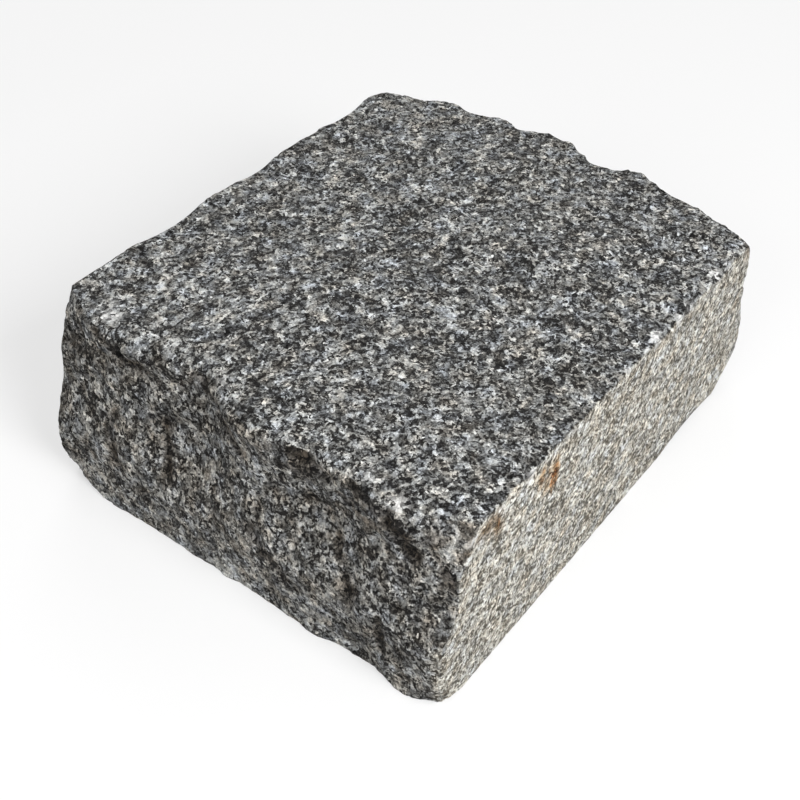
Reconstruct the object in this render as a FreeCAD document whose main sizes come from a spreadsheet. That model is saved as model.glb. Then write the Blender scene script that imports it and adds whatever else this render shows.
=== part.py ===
import FreeCAD, Part
import math
import os
import Sketcher

# Granite paving sett, one solid stone.
# Frame: flat bed on z = 0, length along x, width along y, origin under the
# middle of the stone. The bed and the two long sides are sawn and stay flat.
# The top and both ends are split: each is a lofted cleft surface that takes
# the waste off a sawn block. Small chips are struck off the sawn arrises.

os.makedirs("parts", exist_ok=True)
doc = FreeCAD.newDocument("granite_sett")
sheet = doc.addObject("Spreadsheet::Sheet", "Sizes")

# Sizes in mm, as alias and value.
SIZES = [
    # stone and the waste round it
    ("sett_length", 207.0),
    ("sett_width", 170.0),
    ("split_waste", 8.0),
    # cleft top: height over the middle, how far it drops along the length
    # towards +x and rises across the width towards +y
    ("top_height", 75.3),
    ("top_drop_length", 5.1),
    ("top_rise_width", 1.9),
    # end at -x: profile of the split face, set back from the swollen foot
    ("left_foot_level", 24.0),
    ("left_hollow_level", 56.0),
    ("left_hollow_depth", 8.0),
    ("left_undercut", 1.6),
    # end at +x: set back from its longest point
    ("right_foot_level", 18.0),
    ("right_ramp_level", 58.0),
    ("right_foot_front", 6.0),
    ("right_foot_back", 7.5),
    ("right_bed_depth", 1.8),
    # section radius of the blow that strikes a chip off an arris
    ("chip_radius", 14.0),
]

# How far the top arris of each split end stands in, at each station across
# the width from the -y side to the +y side.
LEFT_ARRIS = (6.5, 5.6, 5.0, 3.0, 5.6, 7.4, 7.6, 4.2, 4.3, 8.8, 13.0, 10.8, 8.2, 7.8, 10.2, 13.6, 17.6)
RIGHT_ARRIS = (15.0, 13.6, 12.6, 10.6, 7.4, 3.8, 2.6, 7.6, 4.6, 0.3, 2.8, 3.0, 6.2, 6.8, 12.6, 15.2, 19.2)

# Swells of the top: x, y, reach along x, reach along y, rise.
TOP_SWELLS = (
    ("a", -48.0, 22.0, 34.0, 30.0, 1.5),
    ("b", 30.0, -18.0, 26.0, 34.0, 1.3),
    ("c", 12.0, 48.0, 30.0, 18.0, -1.4),
    ("d", -22.0, -46.0, 24.0, 22.0, -1.2),
    ("e", 70.0, 30.0, 22.0, 38.0, 1.1),
    ("f", -78.0, -40.0, 20.0, 24.0, 0.9),
)

# Swells of the split ends: y, height, reach along y, reach in height, depth.
LEFT_SWELLS = (
    ("a", 52.0, 42.0, 16.0, 14.0, -1.2),
    ("b", 22.0, 48.0, 14.0, 16.0, 1.9),
    ("c", -12.0, 36.0, 16.0, 13.0, -1.2),
    ("d", -34.0, 54.0, 14.0, 12.0, 1.5),
    ("e", -58.0, 38.0, 13.0, 15.0, -1.0),
    ("f", 0.0, 8.0, 24.0, 12.0, 0.9),
    ("g", -52.0, 2.0, 12.0, 9.0, 2.4),
    ("h", 87.0, 54.0, 15.0, 12.0, -3.4),
    ("i", 88.0, 68.0, 14.0, 7.5, -3.0),
    ("j", -87.0, 44.0, 12.0, 8.0, 2.4),
)
RIGHT_SWELLS = (
    ("a", 44.0, 34.0, 20.0, 18.0, 1.8),
    ("b", -8.0, 46.0, 22.0, 14.0, 1.6),
    ("c", -46.0, 32.0, 18.0, 16.0, 1.4),
    ("d", 12.0, 22.0, 26.0, 14.0, -0.5),
)

# Spalled corners of the split ends: depth, reach along y, reach in height.
LEFT_CORNERS = (
    ("front_top", 9.5, 30.0, 17.0),
    ("front_bed", 5.6, 17.0, 12.0),
    ("back_top", 1.5, 15.0, 9.0),
    ("back_bed", 4.6, 20.0, 16.0),
)
RIGHT_CORNERS = (
    ("front_top", 10.0, 18.0, 15.0),
    ("front_bed", 15.0, 18.0, 16.0),
    ("back_top", 7.0, 15.0, 13.0),
    ("back_bed", 11.0, 19.0, 17.0),
)

# Chips off the long arrises: side, x along the arris, half length, depth.
TOP_CHIPS = (
    ("front", -58.0, 9.0, 1.2),
    ("front", 22.0, 8.0, 1.4),
    ("front", 40.0, 7.0, 1.9),
    ("front", 63.0, 8.0, 1.5),
    ("back", -37.0, 15.0, 1.5),
    ("back", 8.0, 10.0, 1.1),
    ("back", 62.0, 12.0, 1.2),
)
BED_CHIPS = (
    ("front", 62.0, 24.0, 2.2),
    ("back", -36.0, 13.0, 1.6),
    ("back", 40.0, 16.0, 1.9),
)

# Stations as shares of the half width, the top height and the half length.
ARRIS_SHARES = (-1.02, -0.95, -0.87, -0.75, -0.61, -0.47, -0.33, -0.19, -0.06, 0.08, 0.235, 0.4, 0.565)
ARRIS_SHARES += (0.705, 0.825, 0.92, 1.02)
LEVEL_SHARES = (-0.06, 0.04, 0.14, 0.26, 0.38, 0.5, 0.61, 0.71, 0.8, 0.88, 0.95, 1.01, 1.07, 1.14)
TOP_SHARES = (-1.08, -0.83, -0.55, -0.28, 0.0, 0.28, 0.55, 0.83, 1.08)
ACROSS_SHARES = (-1.08, -0.86, -0.64, -0.42, -0.2, 0.0, 0.2, 0.42, 0.64, 0.86, 1.08)


def listed_sizes():
    """Every size of the stone as alias and value."""
    rows = list(SIZES)
    for end, depths in (("left", LEFT_ARRIS), ("right", RIGHT_ARRIS)):
        rows += [("%s_arris_%d" % (end, i), depth) for i, depth in enumerate(depths, start=1)]
    for end, swells in (("top", TOP_SWELLS), ("left", LEFT_SWELLS), ("right", RIGHT_SWELLS)):
        for name, *values in swells:
            words = ("place_a", "place_b", "reach_a", "reach_b", "rise")
            rows += [("%s_swell_%s_%s" % (end, name, word), v) for word, v in zip(words, values)]
    for end, corners in (("left", LEFT_CORNERS), ("right", RIGHT_CORNERS)):
        for name, *values in corners:
            words = ("depth", "reach_y", "reach_z")
            rows += [("%s_%s_%s" % (end, name, word), v) for word, v in zip(words, values)]
    for arris, chips in (("top", TOP_CHIPS), ("bed", BED_CHIPS)):
        for number, (side, *values) in enumerate(chips, start=1):
            words = ("place", "half", "depth")
            rows += [("%s_chip_%d_%s" % (arris, number, word), v) for word, v in zip(words, values)]
    return rows


def fill_sheet():
    """Write every size as a plain number with its alias."""
    for row, (alias, value) in enumerate(listed_sizes(), start=1):
        sheet.set("A%d" % row, alias)
        sheet.set("B%d" % row, "%g" % value)
        sheet.setAlias("B%d" % row, alias)
    doc.recompute()


def size(alias):
    """Value of one size as the sheet holds it."""
    return float(sheet.get(alias))


def smooth(low, high, value):
    """Rise from 0 to 1 with level ends between low and high."""
    share = min(1.0, max(0.0, (value - low) / (high - low)))
    return share * share * (3.0 - 2.0 * share)


def swell_sum(end, swells, a, b):
    """Sum of the bell-shaped swells of one face at the place (a, b)."""
    total = 0.0
    for name in (swell[0] for swell in swells):
        key = "%s_swell_%s_" % (end, name)
        run_a = (a - size(key + "place_a")) / size(key + "reach_a")
        run_b = (b - size(key + "place_b")) / size(key + "reach_b")
        total += size(key + "rise") * math.exp(-run_a * run_a - run_b * run_b)
    return total


def corner_sum(end, corners, y, z):
    """Depth that the spalled corners take off a split end at (y, z)."""
    total = 0.0
    for name in (corner[0] for corner in corners):
        key = "%s_%s_" % (end, name)
        side = -1.0 if name.startswith("front") else 1.0
        from_side = 0.5 * size("sett_width") - side * y
        from_level = size("top_height") - z if name.endswith("top") else z
        near = 1.0 - from_side / size(key + "reach_y") - from_level / size(key + "reach_z")
        total += size(key + "depth") * max(0.0, near) ** 1.4
    return total


def top_level(x, y):
    """Height of the cleft top: a leaning plane with gentle swells."""
    lean = size("top_rise_width") * y / size("sett_width")
    lean -= size("top_drop_length") * x / size("sett_length")
    return size("top_height") + lean + swell_sum("top", TOP_SWELLS, x, y)


def left_depth(station, y, z):
    """How far the -x end stands in: foot, hollow, undercut, then the arris."""
    arris = size("left_arris_%d" % station)
    hollow = 0.55 * size("left_hollow_depth") + 0.45 * arris
    foot = smooth(size("left_foot_level"), size("left_hollow_level"), z) * hollow
    upper = smooth(size("left_hollow_level"), size("top_height"), z)
    undercut = size("left_undercut") * math.sin(math.pi * upper)
    relief = swell_sum("left", LEFT_SWELLS, y, z) + corner_sum("left", LEFT_CORNERS, y, z)
    return foot + (arris - hollow) * upper + undercut + relief


def right_depth(station, y, z):
    """How far the +x end stands in: a bowed foot, then a ramp to the arris."""
    arris = size("right_arris_%d" % station)
    run = 2.0 * y / size("sett_width")
    foot = size("right_foot_front" if y < 0.0 else "right_foot_back") * run * run
    under = size("right_bed_depth") * (1.0 - smooth(0.0, size("right_foot_level"), z))
    upper = smooth(size("right_foot_level"), size("right_ramp_level"), z)
    relief = swell_sum("right", RIGHT_SWELLS, y, z) + corner_sum("right", RIGHT_CORNERS, y, z)
    return foot + under + (arris - foot) * upper + relief


fill_sheet()
body = doc.addObject("PartDesign::Body", "sett")
body.Label = "sett"


def base_plane(role):
    """Origin plane of the body by its role."""
    return next(plane for plane in body.Origin.OriginFeatures if plane.Role == role)


def new_sketch(name, role, offset=0.0):
    """Empty sketch on one of the body's own origin planes, or off it."""
    sketch = body.newObject("Sketcher::SketchObject", name)
    sketch.AttachmentSupport = [(base_plane(role), "")]
    sketch.MapMode = "FlatFace"
    sketch.AttachmentOffset = FreeCAD.Placement(FreeCAD.Vector(0, 0, offset), FreeCAD.Rotation())
    return sketch


def line(start, end):
    """Straight edge between two points given as pairs."""
    return Part.LineSegment(FreeCAD.Vector(*start, 0), FreeCAD.Vector(*end, 0))


def closed_section(sketch, points, corners):
    """Smooth curve through the points, closed by straight edges over the corners."""
    curve = Part.BSplineCurve()
    curve.interpolate([FreeCAD.Vector(a, b, 0) for a, b in points])
    sketch.addGeometry(curve, False)
    chain = [points[-1]] + corners + [points[0]]
    for start, end in zip(chain, chain[1:]):
        sketch.addGeometry(line(start, end), False)


def saw_block():
    """Sawn block: flat bed and two flat long sides, longer than the stone."""
    plan = new_sketch("BlockPlan", "XY_Plane")
    half_x = 0.5 * size("sett_length") + size("split_waste")
    half_y = 0.5 * size("sett_width")
    corners = [(-half_x, -half_y), (half_x, -half_y), (half_x, half_y), (-half_x, half_y)]
    for start, end in zip(corners, corners[1:] + corners[:1]):
        plan.addGeometry(line(start, end), False)
    rules = [Sketcher.Constraint("Coincident", side, 2, (side + 1) % 4, 1) for side in range(4)]
    rules += [Sketcher.Constraint("Horizontal", side) for side in (0, 2)]
    rules += [Sketcher.Constraint("Vertical", side) for side in (1, 3)]
    rules.append(Sketcher.Constraint("Symmetric", 0, 1, 1, 2, -1, 1))
    plan.addConstraint(rules)
    along = plan.addConstraint(Sketcher.Constraint("DistanceX", 0, 1, 0, 2, 2.0 * half_x))
    plan.setExpression("Constraints[%d]" % along, "Sizes.sett_length + 2 * Sizes.split_waste")
    across = plan.addConstraint(Sketcher.Constraint("DistanceY", 1, 1, 1, 2, 2.0 * half_y))
    plan.setExpression("Constraints[%d]" % across, "Sizes.sett_width")
    pad = body.newObject("PartDesign::Pad", "Block")
    pad.Profile = plan
    pad.setExpression("Length", "Sizes.top_height + Sizes.split_waste")
    doc.recompute()


def take_off(name, sketches):
    """Take the waste that is lofted through the sections off the stone."""
    before = body.Shape.Volume
    loft = body.newObject("PartDesign::SubtractiveLoft", name)
    loft.Profile = sketches[0]
    loft.Sections = sketches[1:]
    loft.Ruled = False
    doc.recompute()
    if not loft.Shape.isValid() or loft.Shape.Volume >= before:
        raise RuntimeError("%s takes nothing off" % name)


def split_top():
    """Split top: upright sections station by station along the length."""
    roof = size("top_height") + 3.0 * size("split_waste")
    half_x = 0.5 * size("sett_length")
    half_y = 0.5 * size("sett_width")
    sketches = []
    for number, share in enumerate(TOP_SHARES, start=1):
        sketch = new_sketch("TopStation%d" % number, "YZ_Plane", share * half_x)
        across = [half_y * part for part in ACROSS_SHARES]
        points = [(y, top_level(share * half_x, y)) for y in across]
        closed_section(sketch, points, [(across[-1], roof), (across[0], roof)])
        sketches.append(sketch)
    take_off("TopSplit", sketches)


def split_end(name, side, depth):
    """Split end: level sections from under the bed to over the top."""
    edge = side * 0.5 * size("sett_length")
    outer = edge + 3.0 * side * size("split_waste")
    across = [0.5 * size("sett_width") * share for share in ARRIS_SHARES]
    sketches = []
    for number, share in enumerate(LEVEL_SHARES, start=1):
        level = share * size("top_height")
        sketch = new_sketch("%sLevel%d" % (name, number), "XY_Plane", level)
        places = enumerate(across, start=1)
        points = [(edge - side * depth(station, y, level), y) for station, y in places]
        closed_section(sketch, points, [(outer, across[-1]), (outer, across[0])])
        sketches.append(sketch)
    take_off(name, sketches)


def strike_chip(arris, number, side):
    """Shallow chip: an ellipsoid that bites the arris by the chip's depth."""
    key = "%s_chip_%d_" % (arris, number)
    place = size(key + "place")
    out_y = -1.0 if side == "front" else 1.0
    out_z = 1.0 if arris == "top" else -1.0
    edge_y = out_y * 0.5 * size("sett_width")
    edge_z = top_level(place, edge_y) if arris == "top" else 0.0
    stand_off = (size("chip_radius") - size(key + "depth")) / math.sqrt(2.0)
    chip = body.newObject("PartDesign::SubtractiveEllipsoid", "%sChip%d" % (arris.title(), number))
    chip.AttachmentSupport = [(base_plane("XY_Plane"), "")]
    chip.MapMode = "ObjectXY"
    centre = FreeCAD.Vector(place, edge_y + out_y * stand_off, edge_z + out_z * stand_off)
    chip.AttachmentOffset = FreeCAD.Placement(centre, FreeCAD.Rotation())
    chip.Angle1 = -90
    chip.Angle2 = 90
    chip.Angle3 = 360
    reach = "Sizes.{0}half / sqrt(1 - (1 - Sizes.{0}depth / Sizes.chip_radius) ^ 2)".format(key)
    chip.setExpression("Radius1", "Sizes.chip_radius")
    chip.setExpression("Radius2", reach)
    chip.setExpression("Radius3", "Sizes.chip_radius")
    doc.recompute()


def check_all():
    """Stop on any feature that is not sound."""
    for item in doc.Objects:
        if "Invalid" in item.State or "Error" in item.State:
            raise RuntimeError("%s is not sound" % item.Name)
        if item.isDerivedFrom("PartDesign::Feature"):
            if item.Shape.isNull() or not item.Shape.isValid():
                raise RuntimeError("%s has no valid shape" % item.Name)


saw_block()
split_top()
split_end("LeftSplit", -1, left_depth)
split_end("RightSplit", 1, right_depth)
for arris, chips in (("top", TOP_CHIPS), ("bed", BED_CHIPS)):
    for number, chip in enumerate(chips, start=1):
        faces = len(body.Shape.Faces)
        strike_chip(arris, number, chip[0])
        if len(body.Shape.Faces) <= faces:
            raise RuntimeError("%s chip %d misses the stone" % (arris, number))
check_all()
print("solids", len(body.Shape.Solids), "faces", len(body.Shape.Faces), "volume", round(body.Shape.Volume))
body.Shape.exportStep("parts/sett.step")
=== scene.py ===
import bpy
import numpy as np
from mathutils import Matrix, Vector


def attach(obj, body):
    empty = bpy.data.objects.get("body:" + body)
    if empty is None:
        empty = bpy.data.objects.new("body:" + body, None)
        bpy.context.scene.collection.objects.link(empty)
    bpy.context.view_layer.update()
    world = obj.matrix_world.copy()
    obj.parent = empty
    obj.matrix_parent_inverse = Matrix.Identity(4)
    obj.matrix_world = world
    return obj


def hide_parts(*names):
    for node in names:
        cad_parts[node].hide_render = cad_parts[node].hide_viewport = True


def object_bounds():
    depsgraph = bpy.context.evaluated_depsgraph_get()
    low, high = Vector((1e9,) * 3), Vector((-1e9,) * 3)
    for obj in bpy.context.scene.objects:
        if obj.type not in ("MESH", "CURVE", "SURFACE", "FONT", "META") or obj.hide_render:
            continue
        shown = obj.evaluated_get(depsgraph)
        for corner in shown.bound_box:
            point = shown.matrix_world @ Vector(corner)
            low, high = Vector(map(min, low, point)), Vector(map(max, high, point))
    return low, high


# A granite paving sett on a pale studio floor. The stone's one piece is worked
# out in millimetres in the frame of the solid and scaled to metres at the end.

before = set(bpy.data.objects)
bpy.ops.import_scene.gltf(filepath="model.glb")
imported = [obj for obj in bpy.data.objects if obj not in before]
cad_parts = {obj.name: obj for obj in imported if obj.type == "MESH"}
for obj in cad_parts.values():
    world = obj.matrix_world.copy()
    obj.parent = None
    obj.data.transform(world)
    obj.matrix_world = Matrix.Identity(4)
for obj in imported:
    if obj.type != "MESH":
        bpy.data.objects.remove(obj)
solid_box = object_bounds()
MM = 0.001

# ---------------------------------------------------------------- sizes in mm
LENGTH, WIDTH = 207.0, 170.0
TOP_HEIGHT, TOP_DROP, TOP_RISE = 75.3, 5.1, 1.9
LEFT_FOOT, LEFT_HOLLOW_LEVEL, LEFT_HOLLOW, LEFT_UNDERCUT = 24.0, 56.0, 8.0, 1.6
RIGHT_FOOT_LEVEL, RIGHT_RAMP_LEVEL, RIGHT_BED = 18.0, 58.0, 1.8
RIGHT_FOOT_FRONT, RIGHT_FOOT_BACK = 6.0, 7.5
CHIP_RADIUS = 14.0

# how far the top arris of each split end stands in, across the width
ARRIS_SHARES = (-1.02, -0.95, -0.87, -0.75, -0.61, -0.47, -0.33, -0.19, -0.06,
                0.08, 0.235, 0.4, 0.565, 0.705, 0.825, 0.92, 1.02)
LEFT_ARRIS = (6.5, 5.6, 5.0, 3.0, 5.6, 7.4, 7.6, 4.2, 4.3, 8.8, 13.0, 10.8, 8.2, 7.8, 10.2, 13.6,
              17.6)
RIGHT_ARRIS = (15.0, 13.6, 12.6, 10.6, 7.4, 3.8, 2.6, 7.6, 4.6, 0.3, 2.8, 3.0, 6.2, 6.8, 12.6, 15.2,
               19.2)

# swells: two places, two reaches, rise
TOP_SWELLS = ((-48.0, 22.0, 34.0, 30.0, 1.5), (30.0, -18.0, 26.0, 34.0, 1.3),
              (12.0, 48.0, 30.0, 18.0, -1.4), (-22.0, -46.0, 24.0, 22.0, -1.2),
              (70.0, 30.0, 22.0, 38.0, 1.1), (-78.0, -40.0, 20.0, 24.0, 0.9))
LEFT_SWELLS = ((52.0, 42.0, 16.0, 14.0, -1.2), (22.0, 48.0, 14.0, 16.0, 1.9),
               (-12.0, 36.0, 16.0, 13.0, -1.2), (-34.0, 54.0, 14.0, 12.0, 1.5),
               (-58.0, 38.0, 13.0, 15.0, -1.0), (0.0, 8.0, 24.0, 12.0, 0.9),
               (-52.0, 2.0, 12.0, 9.0, 2.4), (87.0, 54.0, 15.0, 12.0, -3.4),
               (88.0, 68.0, 14.0, 7.5, -3.0), (-87.0, 44.0, 12.0, 8.0, 2.4))
RIGHT_SWELLS = ((44.0, 34.0, 20.0, 18.0, 1.8), (-8.0, 46.0, 22.0, 14.0, 1.6),
                (-46.0, 32.0, 18.0, 16.0, 1.4), (12.0, 22.0, 26.0, 14.0, -0.5))
# small scallops broken along the top arris of the +x end, as swells of (y, z)
RIGHT_SCALLOPS = ((-28.5, 74.0, 3.6, 12.0, -1.8), (-18.5, 74.0, 3.4, 9.0, -0.9),
                  (-43.0, 74.0, 4.0, 8.0, 1.0), (-36.0, 74.0, 2.2, 6.0, 0.6),
                  (1.5, 75.0, 3.2, 9.0, -1.2), (13.0, 75.0, 4.6, 12.0, -1.4),
                  (24.0, 75.0, 3.6, 9.0, 1.3), (35.0, 75.0, 3.0, 8.0, -0.8),
                  (46.0, 75.0, 4.2, 8.0, 0.8), (57.0, 75.0, 4.6, 9.0, -0.9),
                  (66.5, 76.0, 2.8, 9.0, 1.6), (-84.0, 69.5, 7.0, 4.6, -2.8),
                  (-84.0, 57.0, 6.0, 3.0, -1.0), (-84.0, 44.0, 8.0, 6.0, 0.9),
                  (80.0, 76.0, 8.0, 9.0, -1.6))

# spalled corners: side, at the top or the bed, depth, reach across, reach in height
LEFT_CORNERS = ((-1, "top", 9.5, 30.0, 17.0), (-1, "bed", 5.6, 17.0, 12.0),
                (1, "top", 1.5, 15.0, 9.0), (1, "bed", 4.6, 20.0, 16.0))
RIGHT_CORNERS = ((-1, "top", 10.0, 18.0, 15.0), (-1, "bed", 15.0, 18.0, 16.0),
                 (1, "top", 7.0, 15.0, 13.0), (1, "bed", 11.0, 19.0, 17.0))

# chips off the long arrises: side, at the top or the bed, x, half length, depth
CHIPS = ((-1, "top", -58.0, 9.0, 1.2), (-1, "top", 22.0, 8.0, 1.4), (-1, "top", 40.0, 7.0, 1.9),
         (-1, "top", 63.0, 8.0, 1.5), (1, "top", -37.0, 15.0, 1.5), (1, "top", 8.0, 10.0, 1.1),
         (1, "top", 62.0, 12.0, 1.2), (-1, "bed", 62.0, 24.0, 2.2), (1, "bed", -36.0, 13.0, 1.6),
         (1, "bed", 40.0, 16.0, 1.9))

# the hollow right under the -x end's top arris is filled out a little, and the top's
# back corner at the +x end stands a little higher: swells of (y, z) and of (x, y)
LEFT_FILLINGS = ((28.0, 62.0, 26.0, 9.0, 1.3), (-34.0, 67.0, 32.0, 6.5, 1.9))
BACK_CORNER = ((82.0, 80.0, 16.0, 10.0, 0.7),)

# creases broken into the -x end, and ridges where the depth is negative: from (y, z)
# to (y, z), half width, depth
LEFT_CREASES = ((-23.0, 75.5, -36.0, 72.0, 2.0, 1.5), (-46.0, 75.0, -61.0, 73.0, 2.0, 1.1),
                (-61.0, 73.5, -69.0, 60.0, 2.4, 1.6), (-75.0, 66.0, -83.0, 57.0, 1.5, 0.55),
                (64.0, 76.0, 54.0, 71.0, 2.2, 1.2), (54.0, 71.0, 44.0, 69.0, 2.2, 0.9),
                (21.0, 76.0, 17.0, 70.0, 1.8, 0.8), (35.0, 50.0, 31.0, 30.0, 1.6, 0.9),
                (11.0, 70.0, -1.0, 60.0, 2.0, 1.1), (-61.0, 30.0, -62.0, 15.0, 1.8, 1.2),
                (9.0, 55.0, -4.0, 47.0, 2.0, -0.8), (-20.0, 60.0, -26.0, 48.0, 3.0, -0.9),
                (-8.0, 34.0, -22.0, 22.0, 2.2, 0.8), (60.0, 40.0, 52.0, 22.0, 2.4, 0.8),
                (-84.0, 3.0, -72.0, 0.0, 6.0, -1.0), (-40.0, 48.0, -50.0, 30.0, 2.0, 0.8),
                (72.0, 62.0, 85.0, 60.0, 1.6, 0.9))
CREASE_WANDER = 1.2  # how far a crease strays from its straight line

# radii of the arrises: where sawn faces meet, then what comes on top of that along the
# split ones, at the -x end's, at its blunt back half, at its spalls and at its worn foot
CRISP, SPLIT, SPLIT_LEFT, BLUNT, SPALLED, WORN = 0.35, 1.2, 0.9, 3.0, 3.4, 2.6
BLUNT_MIDDLE, BLUNT_REACH = 28.0, 26.0
SPLIT_REACH, SAWN_REACH = 7.0, 6.0  # how far in from a split or a sawn arris it tells
INSIDE = 0.02  # how far the stone stays inside the solid's box

# pale crushed or freshly broken places: x, y, z, reach, strength
PALE_SPOTS = ((-88.5, 63.0, 78.0, 3.8, 1.0), (-83.0, 66.0, 78.0, 5.0, 0.35),
              (-88.0, 13.0, 77.5, 5.0, 0.4), (-95.0, -62.0, 76.0, 4.0, 0.7),
              (-92.0, -50.0, 77.0, 5.0, 0.4), (-94.0, -81.0, 58.0, 3.0, 0.5),
              (-60.0, 62.0, 78.0, 8.0, 0.3), (-86.0, 36.0, 77.0, 7.0, 0.3),
              (-94.0, -76.0, 71.0, 4.0, 0.4), (61.5, -83.5, 73.0, 4.2, 0.8),
              (48.8, -85.0, 75.0, 2.6, 0.6), (39.9, -85.0, 73.6, 3.4, 0.8),
              (18.5, -84.5, 74.3, 4.2, 0.9), (33.0, -85.0, 73.6, 3.0, 0.7),
              (10.2, -85.0, 75.0, 2.6, 0.5), (-2.8, -85.0, 75.0, 2.6, 0.5),
              (68.0, -84.0, 74.0, 3.0, 0.5), (-30.0, -85.0, 76.0, 2.4, 0.4),
              (-60.0, -85.0, 74.0, 3.4, 0.5))
# clouds in the mineral mix, pale with more feldspar and, where the strength is
# negative, dark with more mica; they are partly painted light and shade: the pale ones
# along the foot of the -x end are painted light that lifts the shade there, and some
# dark ones are painted shade in creases: x, y, z, reach, strength
CLOUDS_AND_PAINTED_LIGHT = ((9.0, 69.0, 76.0, 9.0, 0.9), (-71.0, 37.0, 77.0, 9.0, 0.9), (-71.0, 68.0, 78.0, 7.0, 0.6),
          (-16.0, 84.0, 77.0, 9.0, 0.5), (-53.0, -38.0, 76.0, 7.0, 0.9),
          (68.0, -20.0, 73.0, 8.0, 0.6), (-77.0, -62.0, 76.0, 6.0, 0.8),
          (-91.0, -80.0, 71.0, 8.0, 1.6), (-97.0, 60.0, 28.0, 9.0, 1.5),
          (-100.0, 68.0, 4.0, 10.0, 0.8), (-98.0, -2.0, 57.0, 8.0, 0.8),
          (-100.0, -6.0, 33.0, 8.0, 0.9), (-103.0, 6.0, 3.0, 12.0, 2.0),
          (-103.0, 32.0, 3.0, 9.0, 1.3), (-102.0, -40.0, 3.0, 10.0, 0.8),
          (-97.0, -40.0, 70.0, 6.0, 0.7), (95.0, 21.0, 73.0, 14.0, -0.5),
          (37.0, 50.0, 75.0, 12.0, -0.6), (90.0, -38.0, 72.0, 12.0, -1.0),
          (92.0, -70.0, 72.0, 7.0, -0.7), (52.0, -1.0, 74.0, 9.0, -0.9),
          (13.0, 18.0, 75.0, 14.0, -0.6), (24.0, -27.0, 75.0, 11.0, -1.1),
          (50.0, -65.0, 74.0, 11.0, -1.0), (-22.0, 2.0, 76.0, 7.0, -0.9),
          (-38.0, 55.0, 77.0, 8.0, -0.8), (-90.0, 55.0, 77.0, 9.0, -0.6),
          (-39.0, -58.0, 76.0, 7.0, -0.8), (-81.0, -43.0, 77.0, 7.0, -1.1),
          (-95.0, -67.0, 74.0, 6.0, -1.1), (-90.0, -3.0, 77.0, 11.0, -0.6),
          (-97.0, 24.0, 34.0, 10.0, -0.7), (-100.0, -74.0, 28.0, 10.0, -0.8),
          (-101.0, -83.0, 6.0, 7.0, -1.0), (-75.0, -82.0, 75.0, 5.0, 1.0))
# marks on the sawn -y side: x, z, turn in degrees, reach across and along, strength;
# rust from the iron in the stone
RUST_STAINS = ((-45.3, 61.5, 3.0, 3.4, 9.5, 1.0), (-48.5, 63.5, 4.0, 5.5, 9.0, 0.35),
               (-53.0, 67.0, 4.0, 3.0, 7.0, 0.5), (-77.5, 67.5, 5.0, 2.4, 5.0, 0.45))
# brown stains, from soil and old rust
BROWN_STAINS = ((-82.0, 71.3, 75.0, 4.6, 9.5, 1.0), (-76.5, 66.5, 10.0, 4.0, 6.5, 0.9),
                (-92.5, 67.5, 55.0, 1.6, 5.0, 0.6), (84.0, 68.0, 10.0, 6.0, 9.0, 0.7),
                (84.0, 45.0, 10.0, 3.0, 5.0, 0.5), (-101.0, 40.0, 8.0, 2.0, 6.0, 0.6))
# white bruises, from the hammer and the sack
WHITE_BRUISES = ((-46.0, 73.4, 0.0, 2.0, 1.8, 1.0), (-75.8, 73.8, 0.0, 2.4, 1.8, 0.9),
                 (-60.2, 71.8, 0.0, 2.3, 2.0, 1.0), (-57.9, 63.7, 8.0, 1.3, 3.4, 0.9),
                 (-59.9, 54.0, 8.0, 1.3, 3.2, 0.8), (-67.0, 48.9, 8.0, 1.2, 3.0, 0.7),
                 (-89.8, 71.6, 54.0, 1.2, 5.6, 1.0), (-46.5, 72.0, 40.0, 1.2, 3.6, 0.8))
MARK_REACH = 4.0  # how far these marks reach in from the side

# the granite's grain: crystals of feldspar and quartz, broken grains, mica, and how much
# of their size is left in height, because they are drawn out upwards
CRYSTAL, BROKEN_GRAIN, MICA = 3.0, 1.5, 1.0
GRAIN_DRAW = 0.9
# grit in the tone, and fine and coarse grit in the relief with how high they stand
GRIT, FINE_GRIT, COARSE_GRIT = 0.7, 1.1, 3.2
FINE_RELIEF, COARSE_RELIEF = 0.6, 1.2
# the grains' outlines wander in swings of one size by up to half of the other
SWING, WANDER = 2.2, 3.0
MICA_CLUSTER, TINTED_PATCH = 9.0, 6.0
MIDDLE = 0.5  # the mean of a noise and of a random number

CELLS = (180, 138, 72)  # cells of the stone's lattice along x, y and z
END_CELL = 0.5  # the size of an axis's end cells, as a part of the mean
SETTLING = 6  # rounds after which the places between the ends and the top hold still

# the studio in metres: the height at which the softboxes aim, where the floor's paper
# begins to brighten and where it is as white as the backdrop, and the level of the white
# room around the stone, where 1 shows white
AIM_HEIGHT = 0.04
PAPER_REACH, BACKDROP_REACH = 0.25, 1.1
ROOM_LEVEL = 0.38
# the camera at the photograph's viewing angle: lens and sensor in millimetres, its place
# in metres and its own three axes
CAMERA_LENS, SENSOR = 57.375, 36.0
CAMERA_PLACE = (-0.28901, -0.20780, 0.34987)
CAMERA_RIGHT = (0.604888, -0.796283, 0.006612)
CAMERA_UP = (0.547233, 0.421703, 0.722982)
CAMERA_BACK = (-0.578487, -0.433704, 0.690835)


# ------------------------------------------------------------- main form
def smooth(low, high, value):
    """Rise from 0 to 1 between low and high: 3s^2 - 2s^3 of the share s."""
    share = np.clip((value - low) / (high - low), 0.0, 1.0)
    return share * share * (3.0 - 2.0 * share)


def swell_sum(swells, a, b):
    """Sum of bells: rise times exp(-(da/reach_a)^2 - (db/reach_b)^2)."""
    return sum(rise * np.exp(-((a - pa) / ra) ** 2 - ((b - pb) / rb) ** 2)
               for pa, pb, ra, rb, rise in swells)


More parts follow.
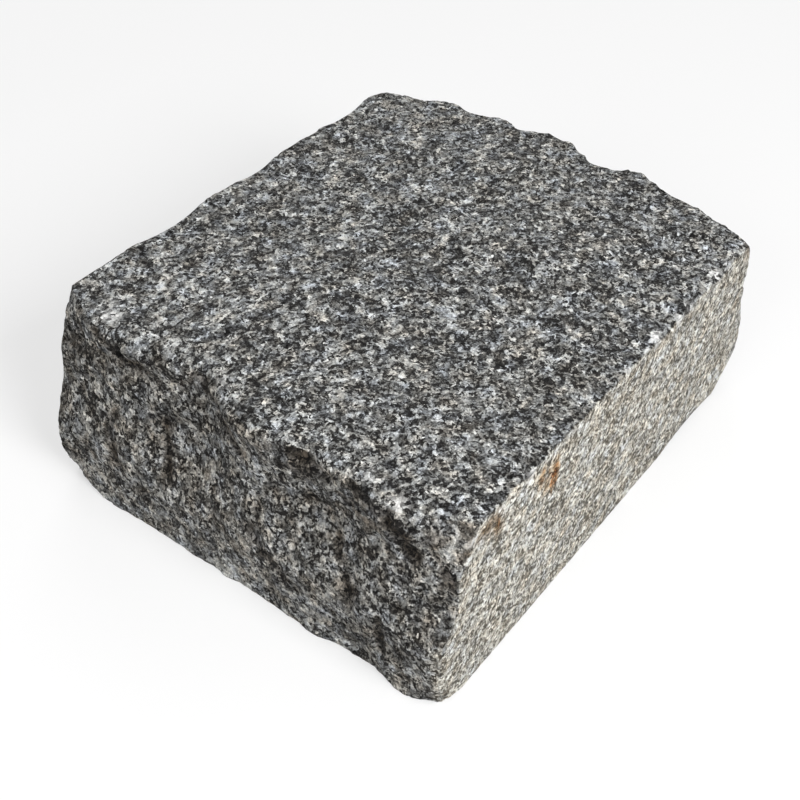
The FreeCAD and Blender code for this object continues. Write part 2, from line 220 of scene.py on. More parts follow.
def corner_sum(corners, y, z):
    """Sum of spalls: depth times (1 - way in from the side - way in from the level)^1.4."""
    total = 0.0
    for side, level, depth, reach_y, reach_z in corners:
        way = TOP_HEIGHT - z if level == "top" else z
        near = 1.0 - (0.5 * WIDTH - side * y) / reach_y - way / reach_z
        total = total + depth * np.maximum(0.0, near) ** 1.4
    return total


def crease_sum(creases, y, z):
    """Grooves: depth times exp(-(way to the segment from (y, z) to (y, z) / half width)^2)."""
    total = 0.0
    for y0, z0, y1, z1, half, depth in creases:
        share = ((y - y0) * (y1 - y0) + (z - z0) * (z1 - z0)) / ((y1 - y0) ** 2 + (z1 - z0) ** 2)
        share = np.clip(share, 0.0, 1.0)
        way = np.hypot(y - y0 - share * (y1 - y0), z - z0 - share * (z1 - z0))
        total = total + depth * np.exp(-(way / half) ** 2)
    return total


def cubic_line(places, values, at):
    """Natural cubic through (places, values): the second slopes m solve the tridiagonal
    system of equal slopes at each place, and each span is its cubic in m and value."""
    places, values = np.asarray(places, float), np.asarray(values, float)
    span = np.diff(places)
    count = len(places)
    rules, want = np.eye(count), np.zeros(count)
    inner = np.arange(1, count - 1)
    rules[inner, inner - 1] = span[:-1]
    rules[inner, inner] = 2.0 * (span[:-1] + span[1:])
    rules[inner, inner + 1] = span[1:]
    want[inner] = 6.0 * (np.diff(values[1:]) / span[1:] - np.diff(values[:-1]) / span[:-1])
    bend = np.linalg.solve(rules, want)
    left = np.clip(np.searchsorted(places, at) - 1, 0, count - 2)
    width, a, b = span[left], places[left + 1] - at, at - places[left]
    curve = (bend[left] * a ** 3 + bend[left + 1] * b ** 3) / (6.0 * width)
    curve += (values[left] / width - bend[left] * width / 6.0) * a
    return curve + (values[left + 1] / width - bend[left + 1] * width / 6.0) * b


def top_level(x, y):
    """Height of the cleft top: a leaning plane with gentle swells."""
    return TOP_HEIGHT + TOP_RISE * y / WIDTH - TOP_DROP * x / LENGTH + swell_sum(TOP_SWELLS, x, y)


def left_depth(y, z):
    """How far the -x end stands in: foot, hollow, undercut, arris, swells and spalls."""
    arris = cubic_line(np.multiply(ARRIS_SHARES, 0.5 * WIDTH), LEFT_ARRIS, y)
    hollow = 0.55 * LEFT_HOLLOW + 0.45 * arris
    upper = smooth(LEFT_HOLLOW_LEVEL, TOP_HEIGHT, z)
    depth = smooth(LEFT_FOOT, LEFT_HOLLOW_LEVEL, z) * hollow + (arris - hollow) * upper
    depth += LEFT_UNDERCUT * np.sin(np.pi * upper)
    return depth + swell_sum(LEFT_SWELLS, y, z) + corner_sum(LEFT_CORNERS, y, z)


def right_depth(y, z):
    """How far the +x end stands in: bowed foot, ramp to the arris, swells and spalls."""
    arris = cubic_line(np.multiply(ARRIS_SHARES, 0.5 * WIDTH), RIGHT_ARRIS, y)
    foot = np.where(y < 0.0, RIGHT_FOOT_FRONT, RIGHT_FOOT_BACK) * (2.0 * y / WIDTH) ** 2
    under = RIGHT_BED * (1.0 - smooth(0.0, RIGHT_FOOT_LEVEL, z))
    depth = foot + under + (arris - foot) * smooth(RIGHT_FOOT_LEVEL, RIGHT_RAMP_LEVEL, z)
    return depth + swell_sum(RIGHT_SWELLS + RIGHT_SCALLOPS, y, z) + corner_sum(RIGHT_CORNERS, y, z)


# ------------------------------------------------------------- fine relief
def chance(cell, seed):
    """Even numbers from 0 to 1 for whole-number cells: the products of the three
    indices with large odd numbers are folded together and mixed twice."""
    word = (cell[..., 0].astype(np.int64) * 73856093) ^ (cell[..., 1].astype(np.int64) * 19349663)
    word = (word ^ (cell[..., 2].astype(np.int64) * 83492791) ^ (seed * 2654435761)) & 0xFFFFFFFF
    for shift in (15, 13):
        word = ((word ^ (word >> shift)) * 2246822519) & 0xFFFFFFFF
    return (word ^ (word >> 16)).astype(float) / 4294967295.0


def waves(points, reach, seed):
    """Gradient noise of about -1 to 1: at the eight corners of each cell of side
    reach a random slope times the way from the corner, blended by 6t^5-15t^4+10t^3."""
    at = points / reach
    base = np.floor(at).astype(np.int64)
    way = at - base
    fade = way ** 3 * (way * (way * 6.0 - 15.0) + 10.0)
    total = np.zeros(len(points))
    for step in np.ndindex(2, 2, 2):
        corner = base + step
        slope = np.stack([chance(corner, seed + k) * 2.0 - 1.0 for k in range(3)], -1)
        share = np.prod(np.where(step, fade, 1.0 - fade), -1)
        total += share * np.sum(slope * (way - step), -1)
    return total * 1.6


def facets(points, reach, seed):
    """Broken facets of about the size reach: each point belongs to its nearest jittered
    cell centre, and its height is the cell's own step plus the cell's own tilt times
    the way from the centre, all of about -1 to 1."""
    at = points / reach
    base = np.floor(at).astype(np.int64)
    best = np.full(len(points), 9.0)
    height = np.zeros(len(points))
    for step in np.ndindex(3, 3, 3):
        cell = base + np.array(step) - 1
        way = at - cell - np.stack([chance(cell, seed + k) for k in range(3)], -1)
        away = np.sum(way * way, -1)
        tilt = np.stack([chance(cell, seed + 3 + k) * 2.0 - 1.0 for k in range(3)], -1)
        own = 0.6 * (chance(cell, seed + 6) * 2.0 - 1.0) + np.sum(tilt * way, -1)
        height = np.where(away < best, own, height)
        best = np.minimum(best, away)
    return height


def squeezed(points, times):
    """The points with their height divided, so that a pattern is drawn out upwards."""
    return points / np.array([1.0, 1.0, times])


def spot_strengths(points, spots):
    """For each spot its strength times exp(-(way from its middle / reach)^2)."""
    for x, y, z, reach, strength in spots:
        away = np.linalg.norm(points - np.array([x, y, z]), axis=1) / reach
        yield strength * np.exp(-away ** 2)


# ------------------------------------------------------------- the stone's mesh
def graded(count, finest):
    """Shares from 0 to 1 in count cells that narrow towards both ends: the even
    share less a sine that takes the end cells down to the part finest of the mean."""
    even = np.linspace(0.0, 1.0, count + 1)
    return even - (1.0 - finest) * np.sin(2.0 * np.pi * even) / (2.0 * np.pi)


def box_lattice(cells):
    """Lattice places and faces of a closed box: each of the six sides is a grid of two
    indices with the third held, its quads wound to face outwards, and places that
    sides share are one vertex."""
    places, quads, start = [], [], 0
    for axis in range(3):
        first, second = (axis + 1) % 3, (axis + 2) % 3
        a, b = np.meshgrid(np.arange(cells[first] + 1), np.arange(cells[second] + 1), indexing="ij")
        number = np.arange(a.size).reshape(a.shape)
        ring = [number[:-1, :-1], number[1:, :-1], number[1:, 1:], number[:-1, 1:]]
        ring = np.stack(ring, -1).reshape(-1, 4)
        for held in (0, cells[axis]):
            place = np.zeros((a.size, 3), int)
            place[:, axis], place[:, first], place[:, second] = held, a.ravel(), b.ravel()
            places.append(place)
            quads.append((ring if held else ring[:, ::-1]) + start)
            start += a.size
    unique, index = np.unique(np.concatenate(places), axis=0, return_inverse=True)
    return unique, index.ravel()[np.concatenate(quads)]


def strike_chips(points):
    """Shallow chips: a point inside a chip's ellipsoid moves across the length, away
    from the ellipsoid's axis, on to its surface. Returns the points and how deep
    each was struck."""
    struck = np.zeros(len(points))
    for side, level, place, half, depth in CHIPS:
        reach = half / np.sqrt(1.0 - (1.0 - depth / CHIP_RADIUS) ** 2)
        stand_off = (CHIP_RADIUS - depth) / np.sqrt(2.0)
        edge = top_level(place, side * 0.5 * WIDTH) + stand_off if level == "top" else -stand_off
        centre = np.array([side * (0.5 * WIDTH + stand_off), edge])
        cross = points[:, 1:] - centre
        along = (points[:, 0] - place) / reach
        section = CHIP_RADIUS * np.sqrt(np.maximum(0.0, 1.0 - along ** 2))
        away = np.linalg.norm(cross, axis=1)
        move = np.maximum(0.0, section - away)
        points[:, 1:] += cross * (move / away)[:, None]
        struck = np.maximum(struck, move)
    return points, struck


def sett_surface():
    """The stone: for the shares (u, v, w) of the box lattice, y = v times the width,
    x runs between the two split ends at (y, z), and z = w times the top's height at
    (x, y), settled by repeating. Relief then goes in along x at the ends and along z
    at the top, the arrises are rounded and the chips struck."""
    lattice, quads = box_lattice(CELLS)
    u, v, w = (graded(CELLS[k], END_CELL)[lattice[:, k]] for k in range(3))
    y = (v - 0.5) * WIDTH
    z = w * TOP_HEIGHT
    for _ in range(SETTLING):
        low, high = left_depth(y, z) - 0.5 * LENGTH, 0.5 * LENGTH - right_depth(y, z)
        x = low + u * (high - low)
        roof = top_level(x, y)
        z = w * roof
    base = np.stack([x, y, z], -1)

    at_left, at_right = lattice[:, 0] == 0, lattice[:, 0] == CELLS[0]
    at_top, at_bed = lattice[:, 2] == CELLS[2], lattice[:, 2] == 0
    at_side = (lattice[:, 1] == 0) | (lattice[:, 1] == CELLS[1])
    off_x = np.minimum(u, 1.0 - u) * (high - low)
    off_y = 0.5 * WIDTH - np.abs(y)
    off_z = np.minimum(w, 1.0 - w) * roof

    # split faces: long undulation, facets of cloven grain, single grains, each with its
    # reach, seed and height
    layers = ((waves, 26.0, 11, 0.50), (waves, 11.0, 17, 0.40), (facets, 8.0, 23, 0.34),
              (facets, 3.8, 31, 0.26), (waves, 4.0, 37, 0.22))
    rough = sum(height * pattern(base, reach, seed) for pattern, reach, seed, height in layers)
    # ends: feathered ridges drawn out in height, strongest under the arris
    feather = 0.45 * waves(squeezed(base, 3.0), 7.0, 41)
    feather += 0.55 * facets(squeezed(base, 2.0), 6.0, 47)
    end_relief = rough + feather * (0.4 + 0.6 * smooth(10.0, 40.0, z))
    stray_y = y + CREASE_WANDER * waves(base, 7.0, 79)
    stray_z = z + CREASE_WANDER * waves(base, 7.0, 83)
    creases = np.where(at_left, crease_sum(LEFT_CREASES, stray_y, stray_z), 0.0)
    end_relief += creases - 0.5 * at_right * smooth(0.75, 1.0, w)
    end_relief -= at_left * swell_sum(LEFT_FILLINGS, y, z)
    # top: a little less rough, and higher along its back rim
    back_rim = 0.5 * np.exp(-(off_y / SAWN_REACH) ** 2) * (y > 0.0)
    top_relief = 0.85 * rough - back_rim - swell_sum(BACK_CORNER, x, y)
    into_x = np.where(at_left, 1.0, 0.0) - np.where(at_right, 1.0, 0.0)
    points = base.copy()
    points[:, 0] += into_x * end_relief
    points[:, 2] -= np.where(at_top, top_relief, 0.0)
    # sawn sides: hardly any relief, and only inwards; the bed has none
    sawn_relief = 0.06 + 0.08 * waves(base, 5.0, 53) + 0.05 * waves(base, 2.6, 59)
    points[:, 1] -= np.where(at_side, np.sign(y) * np.maximum(0.0, sawn_relief), 0.0)

    # arrises: crisp where a sawn face meets another, broken round at the split ones, most
    # at the back half of the -x end's top, and worn round up the foot of its -y corner
    on_split = np.exp(-(off_x ** 2 + off_z ** 2) / SPLIT_REACH ** 2) * smooth(0.5, 1.0, w)
    on_split *= 1.0 - np.exp(-(off_y / SAWN_REACH) ** 2)
    blunt = np.exp(-((y - BLUNT_MIDDLE) / BLUNT_REACH) ** 2) * (u < 0.5)
    spalls = np.maximum(0.0, facets(base, 9.0, 101) + 0.25)
    spalls *= smooth(50.0, 30.0, y) * (u < 0.5)
    worn = (1.0 - smooth(26.0, 42.0, z)) * ((u < 0.5) & (y < 0.0))
    upper = smooth(0.1, 0.3, w)
    radius = SPLIT + SPLIT_LEFT * (u < 0.5) + BLUNT * blunt + SPALLED * spalls
    radius = CRISP + radius * on_split + 0.25 * waves(base, 6.0, 61)
    radius += (0.3 + 1.0 * upper) * np.maximum(0.0, waves(base, 10.0, 67) - 0.05)
    radius += (0.3 + 0.7 * upper) * np.maximum(0.0, facets(base, 3.4, 71))
    radius *= 1.0 - 0.6 * upper * (y > 0.0) * np.exp(-(off_y / 8.0) ** 2)
    radius += WORN * worn * smooth(8.0, 3.0, np.maximum(off_x, off_y))
    radius = np.maximum(0.15, radius)
    reach = np.clip(radius[:, None] - np.stack([off_x, off_y, off_z], -1), 0.0, radius[:, None])
    length = np.maximum(np.linalg.norm(reach, axis=1), 1e-6)
    inset = reach * np.maximum(0.0, 1.0 - radius / length)[:, None]
    points += np.stack([np.where(share < 0.5, 1.0, -1.0) for share in (u, v, w)], -1) * inset
    points, struck = strike_chips(points)

    lowest, highest = (np.array(corner) / MM for corner in solid_box)
    points = np.clip(points, lowest + INSIDE, highest - INSIDE)

    # what the stone's finish follows: sawn or cloven, pale crushed places, clouds in the
    # mineral mix that are partly painted light and shade, and on the ends a little soil with
    # painted shade, most in their hollows, creases and under the top arris and least along
    # the foot, and on the top painted shade in its low places
    broken = np.maximum(np.linalg.norm(inset, axis=1), struck)
    sawn = np.where(at_side | at_bed, 1.0 - smooth(0.10, 0.40, broken * (1.0 - 0.8 * worn)), 0.0)
    sawn = np.maximum(sawn, 0.75 * worn * np.where(at_left, np.exp(-(off_y / 3.5) ** 2), 0.0))
    pale = np.max(list(spot_strengths(points, PALE_SPOTS)), axis=0)
    cloud_and_painted_light = sum(spot_strengths(points, CLOUDS_AND_PAINTED_LIGHT))
    # painted shade: a wavering dark band under the top arris of the ends, where the undercut falls
    # in shade, stronger towards the -y side
    shade_band_level = 68.0 + 1.5 * waves(base, 9.0, 89)
    under = np.exp(-((z - shade_band_level) / 6.0) ** 2)
    under *= smooth(-0.1, 0.5, waves(base, 7.0, 97) + 0.15)
    under *= 0.25 + 0.30 * smooth(0.0, -40.0, y)
    # a little soil, with painted shade in the deep places of the end relief and in the creases
    soil_and_painted_shade = 0.18 + 0.30 * np.clip(end_relief, 0.0, 1.6) + 0.5 * np.clip(creases, 0.0, 1.0) + under
    soil_and_painted_shade -= 0.12 * (1.0 - smooth(2.0, 12.0, z))
    # on the top, painted shade in its low places
    soil_and_painted_shade = np.where(at_left | at_right, soil_and_painted_shade, 0.10 * np.clip(top_relief, 0.0, 1.5))
    soil_and_painted_shade = np.where(at_side, 0.0, np.clip(soil_and_painted_shade, 0.0, 1.0))
    return points, quads, {"sawn": sawn, "pale": pale, "soil_and_painted_shade": soil_and_painted_shade, "cloud_and_painted_light": cloud_and_painted_light}


def make_mesh(name, points, quads, values):
    """Mesh object at the origin from points in mm, quads and named point values."""
    mesh = bpy.data.meshes.new(name)
    mesh.from_pydata((points * MM).tolist(), [], quads.tolist())
    mesh.polygons.foreach_set("use_smooth", np.ones(len(quads), bool))
    for key, value in values.items():
        layer = mesh.attributes.new(key, "FLOAT", "POINT")
        layer.data.foreach_set("value", value.astype(np.float32))
    mesh.update()
    piece = bpy.data.objects.new(name, mesh)
    bpy.context.scene.collection.objects.link(piece)
    return piece


# ------------------------------------------------------------- materials
def linear(code):
    """Linear red, green, blue and alpha from an sRGB hex colour."""
    parts = [int(code[k:k + 2], 16) / 255.0 for k in (1, 3, 5)]
    return [c / 12.92 if c <= 0.04045 else ((c + 0.055) / 1.055) ** 2.4 for c in parts] + [1.0]


def add(tree, kind, links=(), **settings):
    """A node of one kind with its settings; links gives (input, socket or value) pairs."""
    made = tree.nodes.new(kind)
    for key, value in settings.items():
        setattr(made, key, value)
    for key, value in links:
        if isinstance(value, bpy.types.NodeSocket):
            tree.links.new(value, made.inputs[key])
        else:
            made.inputs[key].default_value = value
    return made


def new_material(name):
    """Empty node material and its tree."""
    material = bpy.data.materials.new(name)
    material.use_nodes = True
    material.node_tree.nodes.clear()
    return material, material.node_tree


def set_ramp(ramp, stops):
    """Colour ramp stops as (place, sRGB hex)."""
    line = ramp.color_ramp.elements
    while len(line) > 1:
        line.remove(line[-1])
    line[0].position, line[0].color = stops[0][0], linear(stops[0][1])
    for place, code in stops[1:]:
        line.new(place).color = linear(code)


def mark_sum(tree, place, marks):
    """Largest of some marks on the sawn -y side. Each is its strength times one less the
    way from its middle, measured in its own reaches along its own turned axes."""
    total = 0.0
    for x, z, turn, across, along, strength in marks:
        own = add(tree, "ShaderNodeMapping", [
            (0, place), ("Location", (x * MM, -0.5 * WIDTH * MM, z * MM)),
            ("Rotation", (0.0, np.radians(turn), 0.0)),
            ("Scale", (across * MM, MARK_REACH * MM, along * MM))], vector_type="TEXTURE")
        way = add(tree, "ShaderNodeVectorMath", [(0, own.outputs[0])], operation="LENGTH")
        mark = add(tree, "ShaderNodeMapRange", [
            ("Value", way.outputs["Value"]), ("From Min", 1.0), ("From Max", 0.2),
            ("To Max", strength)])
        total = add(tree, "ShaderNodeMath", [
            (0, total), (1, mark.outputs[0])], operation="MAXIMUM").outputs[0]
    return total


def cloven_and_sawn_granite():
    """Medium-grained grey granite, cloven on the top and ends and sawn on the sides and
    bed. The eye gets pale feldspar of 3 to 6 mm, glassy grey quartz and black mica of 1
    to 2 mm, crisp and darker where it is cloven, paler and dusty where it is sawn, with
    rust from the iron in it, white bruises, painted glints of feldspar, clouds that are
    partly painted light and shade, and soil with painted shade in the hollows of the ends."""
    material, tree = new_material("cloven_and_sawn_granite")
    place = add(tree, "ShaderNodeTexCoord").outputs["Object"]
    sawn, pale, soil_and_painted_shade, cloud_and_painted_light = (
        add(tree, "ShaderNodeAttribute", attribute_name=name).outputs["Fac"]
        for name in ("sawn", "pale", "soil_and_painted_shade", "cloud_and_painted_light"))

    # the grain is drawn out upwards by a tenth, and its outlines wander by about 1 mm
    grain = add(tree, "ShaderNodeVectorMath", [
        (0, place), (1, (1.0, 1.0, GRAIN_DRAW))], operation="MULTIPLY").outputs[0]
    loose = add(tree, "ShaderNodeTexNoise", [
        ("Vector", grain), ("Scale", 1 / (SWING * MM)), ("Detail", 3.0), ("Roughness", 0.6)])
    wander = add(tree, "ShaderNodeVectorMath", [
        (0, loose.outputs["Color"]), (1, (MIDDLE, MIDDLE, MIDDLE))], operation="SUBTRACT")
    wander = add(tree, "ShaderNodeVectorMath", [
        (0, wander.outputs[0]), ("Scale", WANDER * MM)], operation="SCALE")
    ragged = add(tree, "ShaderNodeVectorMath", [(0, place), (1, wander.outputs[0])]).outputs[0]
    crystal = add(tree, "ShaderNodeVectorMath", [(0, grain), (1, wander.outputs[0])]).outputs[0]
    # feldspar and quartz of 3.0 mm, broken grains of 1.5 mm and mica of 1.0 mm, each grain
    # with random numbers of its own, then grit of 0.7 mm and of 1.1 mm and clusters of 9 mm
    large, small, mica = (
        add(tree, "ShaderNodeTexVoronoi", [("Vector", crystal), ("Scale", 1 / (size * MM))])
        for size in (CRYSTAL, BROKEN_GRAIN, MICA))
    kind, kind_small, kind_mica = (
        add(tree, "ShaderNodeSeparateColor", [("Color", grains.outputs["Color"])]).outputs
        for grains in (large, small, mica))
    grit = add(tree, "ShaderNodeTexNoise", [
        ("Vector", grain), ("Scale", 1 / (GRIT * MM)), ("Detail", 2.0), ("Roughness", 0.6)])
    fine = add(tree, "ShaderNodeTexNoise", [
        ("Vector", place), ("Scale", 1 / (FINE_GRIT * MM)), ("Detail", 2.0), ("Roughness", 0.6)])
    cluster = add(tree, "ShaderNodeTexNoise", [
        ("Vector", place), ("Scale", 1 / (MICA_CLUSTER * MM)), ("Detail", 3.0),
        ("Roughness", 0.6)])

    # lightness of each grain: cloven stone shows every grain, sawing evens them out
    share = add(tree, "ShaderNodeMath", [
        (0, sawn), (1, -0.27), (2, 0.44)], operation="MULTIPLY_ADD")
    tone = add(tree, "ShaderNodeMath", [
        (0, kind[0]), (1, share.outputs[0]), (2, 0.335)], operation="MULTIPLY_ADD")
    tone = add(tree, "ShaderNodeMath", [
        (0, sawn), (1, 0.16), (2, tone.outputs[0])], operation="MULTIPLY_ADD")
    over = add(tree, "ShaderNodeMath", [(0, kind_small[0]), (1, MIDDLE)], operation="SUBTRACT")
    tone = add(tree, "ShaderNodeMath", [
        (0, over.outputs[0]), (1, 0.50), (2, tone.outputs[0])], operation="MULTIPLY_ADD")
    for noise, by_sawing, weight in ((grit, 0.55, 1.15), (cluster, -0.25, 0.5)):
        over = add(tree, "ShaderNodeMath", [
            (0, noise.outputs["Fac"]), (1, MIDDLE)], operation="SUBTRACT")
        share = add(tree, "ShaderNodeMath", [
            (0, sawn), (1, by_sawing), (2, weight)], operation="MULTIPLY_ADD")
        tone = add(tree, "ShaderNodeMath", [
            (0, over.outputs[0]), (1, share.outputs[0]), (2, tone.outputs[0])],
            operation="MULTIPLY_ADD")
    # clouds in the mineral mix, partly painted light and shade, lift or lower the tone
    tone = add(tree, "ShaderNodeMath", [
        (0, cloud_and_painted_light), (1, 0.10), (2, tone.outputs[0])], operation="MULTIPLY_ADD")
    # about one small grain in five is black mica, more of them where they cluster, and
    # eaten into from its rim
    black = kind_mica[0]
    weights = (cluster.outputs["Fac"], 0.6), (fine.outputs["Fac"], 0.9), (cloud_and_painted_light, 0.12)
    for source, weight in weights:
        black = add(tree, "ShaderNodeMath", [
            (0, source), (1, weight), (2, black)], operation="MULTIPLY_ADD").outputs[0]
    black = add(tree, "ShaderNodeMapRange", [
        ("Value", black), ("From Min", 0.98), ("From Max", 1.12), ("To Min", 0.26),
        ("To Max", 1.0)])
    tone = add(tree, "ShaderNodeMath", [
        (0, tone.outputs[0]), (1, black.outputs[0])], operation="MULTIPLY")
    # and one in sixty a painted glint: a feldspar cleavage face painted bright in place of its
    # reflection
    painted_glint = add(tree, "ShaderNodeMapRange", [
        ("Value", kind_mica[1]), ("From Min", 0.975), ("From Max", 0.99), ("To Max", 0.45)])
    tone = add(tree, "ShaderNodeMath", [(0, tone.outputs[0]), (1, painted_glint.outputs[0])])
    cloven = add(tree, "ShaderNodeValToRGB", [("Fac", tone.outputs[0])])
    set_ramp(cloven, ((0.0, "#070606"), (0.2, "#353434"), (0.45, "#777878"), (0.7, "#B2B4B5"),
                      (1.0, "#F7F9FA")))
    dusty = add(tree, "ShaderNodeValToRGB", [("Fac", tone.outputs[0])])
    set_ramp(dusty, ((0.0, "#2E2A23"), (0.2, "#67635C"), (0.45, "#A3A099"), (0.7, "#D1CFC9"),
                     (1.0, "#FCFCF8")))
    colour = add(tree, "ShaderNodeMix", [
        ("Factor", sawn), (6, cloven.outputs[0]), (7, dusty.outputs[0])],
        data_type="RGBA").outputs[2]
    # faint blue and buff patches of about 6 mm
    patch = add(tree, "ShaderNodeTexNoise", [
        ("Vector", place), ("Scale", 1 / (TINTED_PATCH * MM)), ("Detail", 2.0),
        ("Roughness", 0.6)])
    tint = add(tree, "ShaderNodeValToRGB", [("Fac", patch.outputs["Fac"])])
    set_ramp(tint, ((0.3, "#F2F6FC"), (0.5, "#FBFAF6"), (0.7, "#FFF7EB")))
    colour = add(tree, "ShaderNodeMix", [
        ("Factor", 1.0), (6, colour), (7, tint.outputs[0])], data_type="RGBA",
        blend_type="MULTIPLY").outputs[2]

    # crushed and bruised places go nearly white, one grain more than the next
    bruise = add(tree, "ShaderNodeMath", [
        (0, mark_sum(tree, place, WHITE_BRUISES)), (1, pale)], operation="MAXIMUM")
    chalk = add(tree, "ShaderNodeMath", [
        (0, kind_small[0]), (1, 0.7), (2, 0.15)], operation="MULTIPLY_ADD")
    bruise = add(tree, "ShaderNodeMath", [
        (0, bruise.outputs[0]), (1, chalk.outputs[0])], operation="MULTIPLY")
    bruise = add(tree, "ShaderNodeMapRange", [
        ("Value", bruise.outputs[0]), ("From Min", 0.12), ("From Max", 0.50)])
    colour = add(tree, "ShaderNodeMix", [
        ("Factor", bruise.outputs[0]), (6, colour), (7, linear("#FAFAF8"))],
        data_type="RGBA").outputs[2]
    # iron rust soaks in between the grains: orange at its heart, brown at its rim
    rust = add(tree, "ShaderNodeMath", [
        (0, mark_sum(tree, ragged, RUST_STAINS)), (1, sawn)], operation="MULTIPLY")
    spread = add(tree, "ShaderNodeMath", [
        (0, kind_small[2]), (1, 0.9), (2, 0.5)], operation="MULTIPLY_ADD")
    rust = add(tree, "ShaderNodeMath", [
        (0, rust.outputs[0]), (1, spread.outputs[0])], operation="MULTIPLY", use_clamp=True)
    orange = add(tree, "ShaderNodeValToRGB", [("Fac", rust.outputs[0])])
    set_ramp(orange, ((0.0, "#FFFFFF"), (0.3, "#EAD6BE"), (0.6, "#D8AB84"), (1.0, "#C0804C")))
    colour = add(tree, "ShaderNodeMix", [
        ("Factor", 1.0), (6, colour), (7, orange.outputs[0])], data_type="RGBA",
        blend_type="MULTIPLY").outputs[2]
    brown = add(tree, "ShaderNodeMath", [
        (0, mark_sum(tree, ragged, BROWN_STAINS)), (1, spread.outputs[0])], operation="MULTIPLY",
        use_clamp=True)
    colour = add(tree, "ShaderNodeMix", [
        ("Factor", brown.outputs[0]), (6, colour), (7, linear("#A8937C"))], data_type="RGBA",
        blend_type="MULTIPLY").outputs[2]
    # soil and painted shade keep to the hollows, the creases and the band under the top arris
    hold = add(tree, "ShaderNodeMath", [
        (0, patch.outputs["Fac"]), (1, 1.6), (2, 0.2)], operation="MULTIPLY_ADD")
    soil_and_shade_share = add(tree, "ShaderNodeMath", [
        (0, soil_and_painted_shade), (1, hold.outputs[0])], operation="MULTIPLY", use_clamp=True)
    soil_and_shade_ramp = add(tree, "ShaderNodeValToRGB", [("Fac", soil_and_shade_share.outputs[0])])
    set_ramp(soil_and_shade_ramp, ((0.0, "#FFFFFF"), (0.2, "#FCF9F5"), (0.5, "#C9C2BB"), (1.0, "#6A635C")))
    colour = add(tree, "ShaderNodeMix", [
        ("Factor", 1.0), (6, colour), (7, soil_and_shade_ramp.outputs[0])], data_type="RGBA",
        blend_type="MULTIPLY").outputs[2]

    # relief finer than the mesh: tilted grain faces, then grit of 1 mm and of 3 mm
    face = add(tree, "ShaderNodeVectorMath", [
        (0, crystal), (1, small.outputs["Position"])], operation="SUBTRACT")
    lean = add(tree, "ShaderNodeVectorMath", [
        (0, small.outputs["Color"]), (1, (MIDDLE, MIDDLE, MIDDLE))], operation="SUBTRACT")
    facet = add(tree, "ShaderNodeVectorMath", [
        (0, face.outputs[0]), (1, lean.outputs[0])], operation="DOT_PRODUCT")
    broad = add(tree, "ShaderNodeTexNoise", [
        ("Vector", place), ("Scale", 1 / (COARSE_GRIT * MM)), ("Detail", 2.0),
        ("Roughness", 0.6)])
    height = add(tree, "ShaderNodeMath", [
        (0, fine.outputs["Fac"]), (1, FINE_RELIEF * MM), (2, facet.outputs["Value"])],
        operation="MULTIPLY_ADD")
    height = add(tree, "ShaderNodeMath", [
        (0, broad.outputs["Fac"]), (1, COARSE_RELIEF * MM), (2, height.outputs[0])],
        operation="MULTIPLY_ADD")
    share = add(tree, "ShaderNodeMath", [(0, sawn), (1, -1.4), (2, 1.9)], operation="MULTIPLY_ADD")
    height = add(tree, "ShaderNodeMath", [
        (0, height.outputs[0]), (1, share.outputs[0])], operation="MULTIPLY")
    bump = add(tree, "ShaderNodeBump", [
        ("Strength", 1.0), ("Distance", 1.0), ("Height", height.outputs[0])])
    rough = add(tree, "ShaderNodeMath", [
        (0, kind_small[1]), (1, 0.30), (2, 0.60)], operation="MULTIPLY_ADD")
    shader = add(tree, "ShaderNodeBsdfPrincipled", [
        ("Base Color", colour), ("Roughness", rough.outputs[0]), ("IOR", 1.54),
        ("Specular IOR Level", 0.10), ("Normal", bump.outputs[0])])
    add(tree, "ShaderNodeOutputMaterial", [("Surface", shader.outputs[0])])
    return material


def studio_floor():
    """Matt white paper on a lit table: to the camera half of its white is its own light,
    so that the stone's shadow stays faint, rising to all of it a metre away, where the
    floor goes over into the white backdrop. To the stone it is a plain grey floor."""
    material, tree = new_material("matt_studio_paper")
    path = add(tree, "ShaderNodeLightPath")
    seen = add(tree, "ShaderNodeMath", [
        (0, path.outputs["Is Camera Ray"]), (1, path.outputs["Is Glossy Ray"])],
        operation="MAXIMUM")
    tone = add(tree, "ShaderNodeMix", [
        ("Factor", seen.outputs[0]), (6, linear("#9C9C9C")), (7, linear("#F6F6F6"))],
        data_type="RGBA")
    paper = add(tree, "ShaderNodeBsdfDiffuse", [("Color", tone.outputs[2])])
    white = add(tree, "ShaderNodeEmission", [("Color", linear("#FFFFFF")), ("Strength", 1.0)])
    place = add(tree, "ShaderNodeTexCoord").outputs["Object"]
    away = add(tree, "ShaderNodeVectorMath", [(0, place)], operation="LENGTH")
    share = add(tree, "ShaderNodeMapRange", [
        ("Value", away.outputs["Value"]), ("From Min", PAPER_REACH),
        ("From Max", BACKDROP_REACH), ("To Min", 0.5), ("To Max", 1.0)],
        interpolation_type="SMOOTHSTEP")
    share = add(tree, "ShaderNodeMath", [
        (0, seen.outputs[0]), (1, share.outputs[0])], operation="MULTIPLY")
    shader = add(tree, "ShaderNodeMixShader", [
        (0, share.outputs[0]), (1, paper.outputs[0]), (2, white.outputs[0])])
    add(tree, "ShaderNodeOutputMaterial", [("Surface", shader.outputs[0])])
    return material


# ------------------------------------------------------------- the piece
points, quads, values = sett_surface()
sett = make_mesh("sett_stone", points, quads, values)
sett.data.materials.append(cloven_and_sawn_granite())
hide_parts("sett")
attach(sett, "root")

# ------------------------------------------------------------- floor, lights, camera
floor_mesh = bpy.data.meshes.new("floor")
floor_mesh.from_pydata([(-4, -4, 0), (4, -4, 0), (4, 4, 0), (-4, 4, 0)], [], [(0, 1, 2, 3)])
floor = bpy.data.objects.new("floor", floor_mesh)
bpy.context.scene.collection.objects.link(floor)
floor_mesh.materials.append(studio_floor())

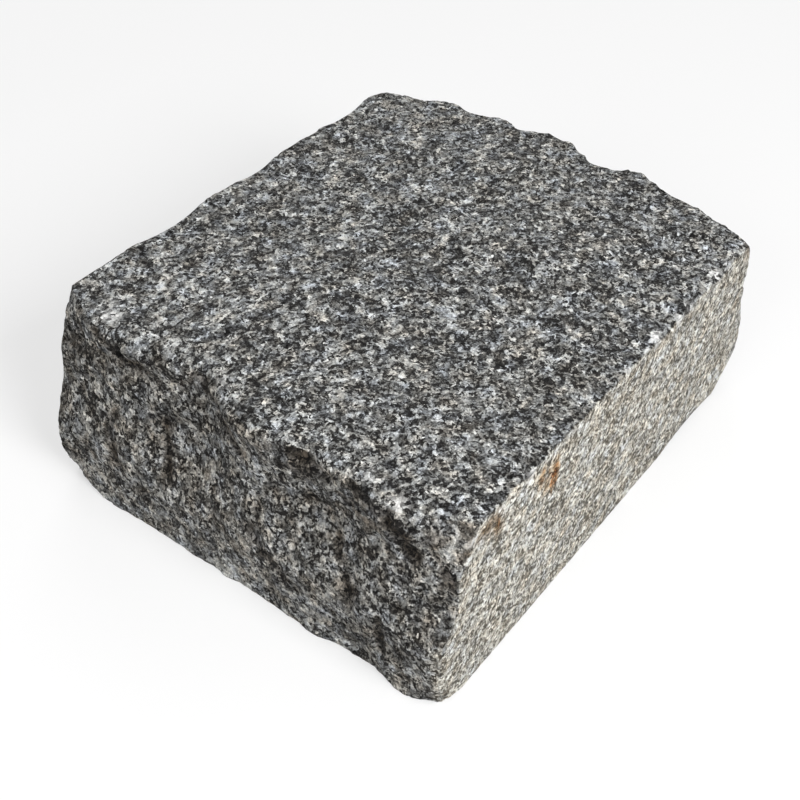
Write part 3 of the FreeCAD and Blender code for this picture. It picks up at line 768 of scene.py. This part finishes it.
world = bpy.data.worlds.new("studio")
bpy.context.scene.world = world
world.use_nodes = True
world.node_tree.nodes.clear()
path = add(world.node_tree, "ShaderNodeLightPath")
seen = add(world.node_tree, "ShaderNodeMath", [
    (0, path.outputs["Is Camera Ray"]), (1, path.outputs["Is Glossy Ray"])], operation="MAXIMUM")
seen = add(world.node_tree, "ShaderNodeMath", [
    (0, seen.outputs[0]), (1, path.outputs["Is Transmission Ray"])], operation="MAXIMUM")
level = add(world.node_tree, "ShaderNodeMapRange", [
    ("Value", seen.outputs[0]), ("To Min", ROOM_LEVEL), ("To Max", 1.0)])
shade = add(world.node_tree, "ShaderNodeBackground", [
    ("Color", (1.0, 1.0, 1.0, 1.0)), ("Strength", level.outputs[0])])
add(world.node_tree, "ShaderNodeOutputWorld", [("Surface", shade.outputs[0])])


def softbox(name, towards, distance, side, level):
    """Square softbox that faces the stone from a direction. Its power is pi squared times
    the distance squared times the level to which it lights a facing surface."""
    lamp = bpy.data.lights.new(name, "AREA")
    lamp.size = side
    lamp.energy = level * np.pi ** 2 * distance ** 2
    holder = bpy.data.objects.new(name, lamp)
    way = Vector(towards).normalized()
    holder.location = way * distance + Vector((0.0, 0.0, AIM_HEIGHT))
    holder.rotation_mode = "QUATERNION"
    holder.rotation_quaternion = way.to_track_quat("Z", "Y")
    bpy.context.scene.collection.objects.link(holder)


softbox("key_softbox", (-0.18, -0.78, 0.62), 1.0, 0.45, 0.95)
softbox("fill_softbox", (-0.9, 0.1, 0.45), 1.6, 1.0, 0.33)
softbox("back_softbox", (0.75, 0.75, 0.45), 1.6, 1.0, 0.26)

camera_data = bpy.data.cameras.new("camera")
camera_data.sensor_width, camera_data.lens = SENSOR, CAMERA_LENS
camera_data.clip_start, camera_data.clip_end = 0.01, 20.0
camera = bpy.data.objects.new("camera", camera_data)
turn = Matrix((CAMERA_RIGHT, CAMERA_UP, CAMERA_BACK)).transposed().to_4x4()
camera.matrix_world = Matrix.Translation(CAMERA_PLACE) @ turn
bpy.context.scene.collection.objects.link(camera)
bpy.context.scene.camera = camera
bpy.context.scene.view_settings.view_transform = "Standard"
